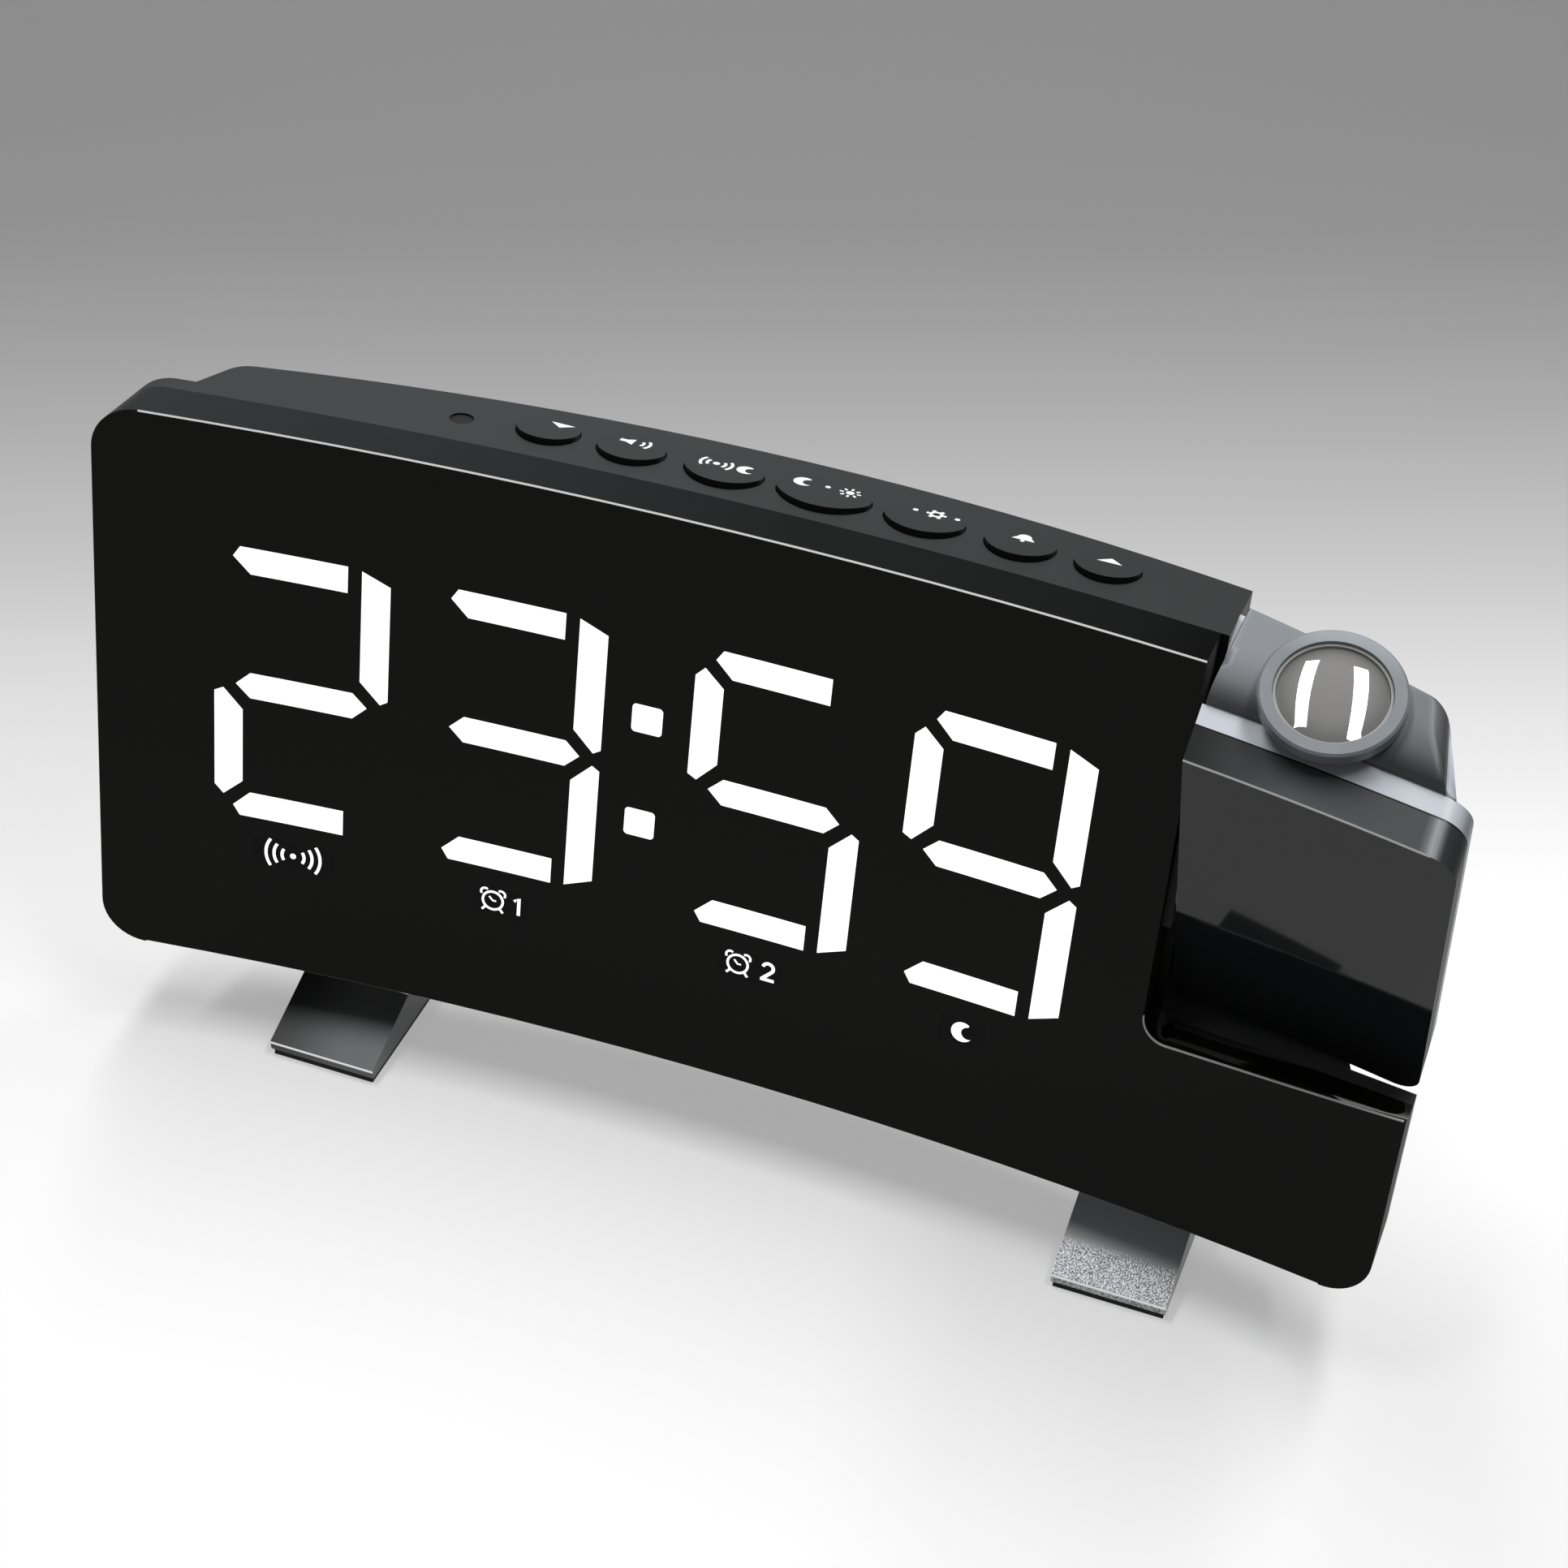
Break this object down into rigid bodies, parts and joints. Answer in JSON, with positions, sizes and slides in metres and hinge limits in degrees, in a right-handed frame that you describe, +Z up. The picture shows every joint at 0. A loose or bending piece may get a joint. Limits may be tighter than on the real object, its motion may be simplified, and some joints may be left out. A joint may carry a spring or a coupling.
{
  "type": "projection alarm clock",
  "caption": "Projection alarm clock with a concave glossy front, large lit digits, oval keys on top, metal feet and a tilting side projector with a focusing lens.",
  "frame": {"origin": "centre of the bounding box at the height of the table the pads stand on", "axes": "+X to the right along the width, +Y from the face to the back, +Z up"},
  "size_m": [0.19, 0.0484, 0.1118],
  "materials": {
    "gloss_black": "polished black, mirror-like",
    "matte_black": "fine satin grain",
    "digit_light": "lit white diffuser",
    "window_black": "smoked clear plastic, polished",
    "white_plastic": "plain moulded white",
    "led_yellow": "clear resin",
    "board_green": "green solder mask",
    "chip_black": "moulded epoxy",
    "wire_red": "insulation",
    "speaker_frame": "black coated frame",
    "speaker_cone": "coated paper",
    "inner_black": "plain moulded black",
    "steel": "plated steel",
    "foot_metal": "satin bead-blasted, bright lip",
    "pad_rubber": "soft matt rubber",
    "key_black": "fine satin grain",
    "grey_shell": "fine satin grain, dark silver grey",
    "panel_glass": "liquid crystal shutter",
    "clear_glass": "polished, clear",
    "grey_ring": "satin, dark silver grey"
  },
  "bodies": {
    "clock_body": {"front_panel": "gloss_black", "rear_cover": "matte_black", "display_segments": "digit_light", "sign_windows": "window_black", "digit_reflector": "white_plastic", "display_leds": "led_yellow", "display_board": "board_green", "main_board": "board_green", "board_chips": "chip_black", "wire_lead": "wire_red", "key_board": "board_green", "tact_switches": "chip_black", "light_sensor": "chip_black", "sensor_window": "window_black", "speaker": "speaker_frame", "speaker_cone": "speaker_cone", "power_inlet": "inner_black", "usb_socket": "steel", "coin_cell": "steel", "battery_clips": "steel", "left_foot": "foot_metal", "right_foot": "foot_metal", "left_pad": "pad_rubber", "right_pad": "pad_rubber", "foot_screws": "steel", "cover_screws": "steel", "hinge_washer": "white_plastic"},
    "projector": {"pivot_shaft": "steel", "spring_washer": "steel", "retaining_ring": "steel", "projector_plate": "gloss_black", "projector_shell": "grey_shell", "projector_tunnel": "inner_black", "projector_lcd": "panel_glass", "condenser_lens": "clear_glass", "projector_board": "board_green", "projector_led": "led_yellow", "projector_wires": "wire_red", "projector_screws": "steel"},
    "lens_carrier": {"lens_cell": "grey_ring", "cell_clip": "steel", "lens": "clear_glass"},
    "focus_ring": {"focus_ring": "grey_ring"},
    "key_down": {"key_down": "key_black"},
    "key_volume": {"key_volume": "key_black"},
    "key_radio": {"key_radio": "key_black"},
    "key_snooze": {"key_snooze": "key_black"},
    "key_set": {"key_set": "key_black"},
    "key_alarm": {"key_alarm": "key_black"},
    "key_up": {"key_up": "key_black"},
    "battery_door": {"battery_door": "matte_black"}
  },
  "joints": [
    {"name": "projector_tilt", "type": "hinge", "parent": "clock_body", "child": "projector", "pos_m": [0.06, 0.0011, 0.06639], "axis": [1, 0, 0], "range_deg": [-117.7, 62.3]},
    {"name": "focus_slide", "type": "slide", "parent": "projector", "child": "lens_carrier", "axis": [0, -0.3697, 0.9291], "range_m": [0, 0.0012]},
    {"name": "focus_turn", "type": "hinge", "parent": "lens_carrier", "child": "focus_ring", "pos_m": [0.0752, -0.01026, 0.10671], "axis": [0, -0.3697, 0.9291], "range_deg": [0, 270]},
    {"name": "press_down", "type": "slide", "parent": "clock_body", "child": "key_down", "axis": [0, -0.1045, -0.9945], "range_m": [0, 0.0008], "stiffness_N_per_m": 1200},
    {"name": "press_volume", "type": "slide", "parent": "clock_body", "child": "key_volume", "axis": [0, -0.1045, -0.9945], "range_m": [0, 0.0008], "stiffness_N_per_m": 1200},
    {"name": "press_radio", "type": "slide", "parent": "clock_body", "child": "key_radio", "axis": [0, -0.1045, -0.9945], "range_m": [0, 0.0008], "stiffness_N_per_m": 1200},
    {"name": "press_snooze", "type": "slide", "parent": "clock_body", "child": "key_snooze", "axis": [0, -0.1045, -0.9945], "range_m": [0, 0.0008], "stiffness_N_per_m": 1200},
    {"name": "press_set", "type": "slide", "parent": "clock_body", "child": "key_set", "axis": [0, -0.1045, -0.9945], "range_m": [0, 0.0008], "stiffness_N_per_m": 1200},
    {"name": "press_alarm", "type": "slide", "parent": "clock_body", "child": "key_alarm", "axis": [0, -0.1045, -0.9945], "range_m": [0, 0.0008], "stiffness_N_per_m": 1200},
    {"name": "press_up", "type": "slide", "parent": "clock_body", "child": "key_up", "axis": [0, -0.1045, -0.9945], "range_m": [0, 0.0008], "stiffness_N_per_m": 1200},
    {"name": "battery_door_slide", "type": "slide", "parent": "clock_body", "child": "battery_door", "axis": [0, -0.1045, -0.9945], "range_m": [0, 0.012]}
  ],
  "couplings": [
    {"joint": "focus_turn", "follows": "focus_slide", "rad_per_m": 3927}
  ]
}
